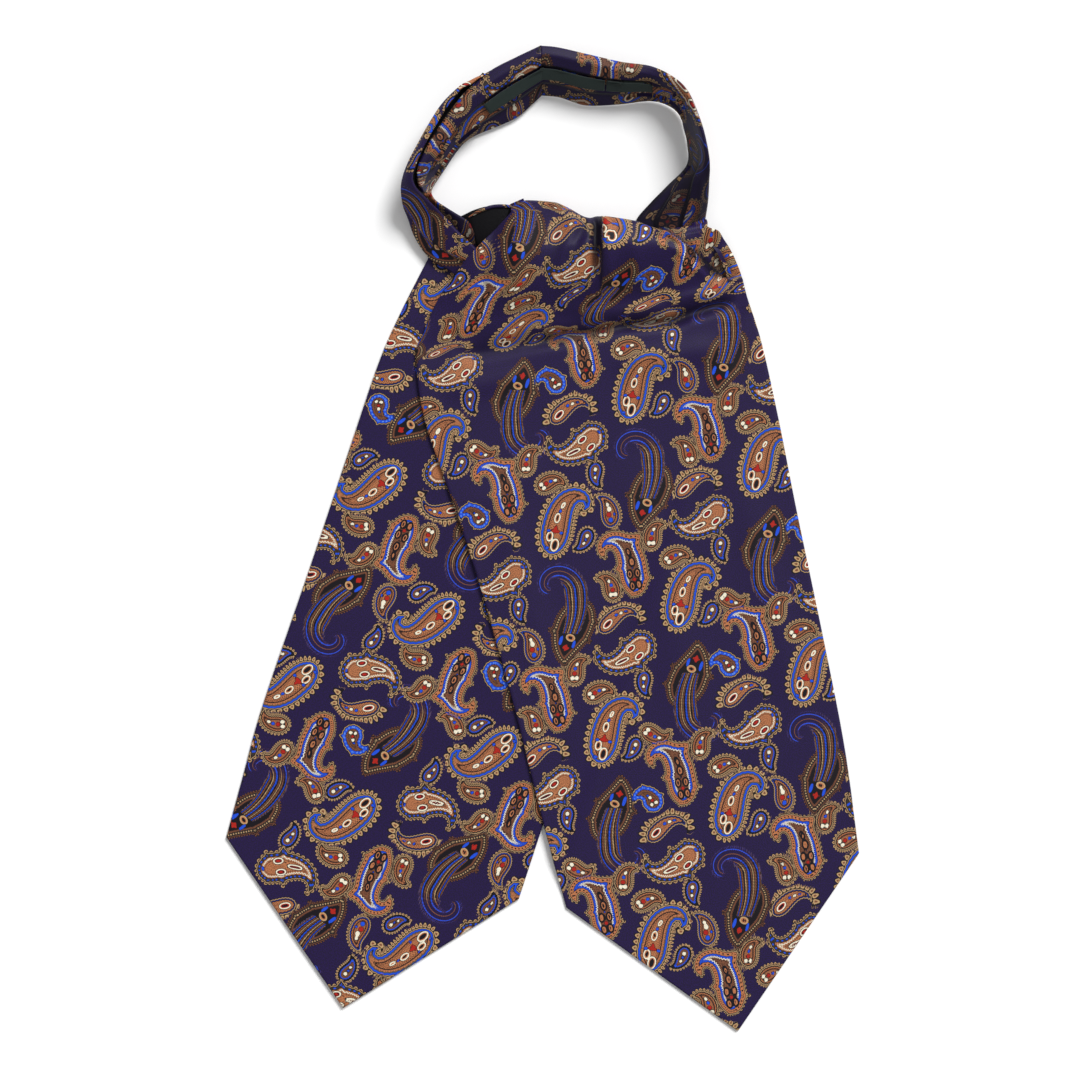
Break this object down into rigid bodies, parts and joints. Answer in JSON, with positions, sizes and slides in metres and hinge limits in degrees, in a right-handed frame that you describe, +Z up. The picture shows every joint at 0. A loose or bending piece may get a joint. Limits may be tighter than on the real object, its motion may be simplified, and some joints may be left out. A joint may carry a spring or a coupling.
{
  "type": "silk cravat",
  "caption": "Silk cravat laid flat, with a pleated neckband loop, one broad pointed blade folded over the crossing and the other below it.",
  "frame": {"origin": "on the table, below the middle of the laid cravat's bounding box", "axes": "+Y from the blades' points towards the neckband, +X to the wearer's side of the top blade, +Z up from the table"},
  "size_m": [0.3196, 0.4974, 0.0251],
  "materials": {
    "blade_silk": "printed silk twill, soft sheen",
    "band_silk": "printed silk twill, pleated",
    "dark_lining": "plain dark silk lining",
    "woven_label": "matt woven ribbon"
  },
  "bodies": {
    "root": {"front_blade": "blade_silk", "under_blade": "blade_silk", "neckband_left": "band_silk", "neckband_right": "band_silk", "neckband_turn": "band_silk", "neckband_back_pleat": "band_silk", "turned_edge": "band_silk", "turned_lining": "dark_lining", "crossing_layers": "dark_lining", "neck_label": "woven_label", "care_tag": "woven_label"}
  },
  "joints": []
}
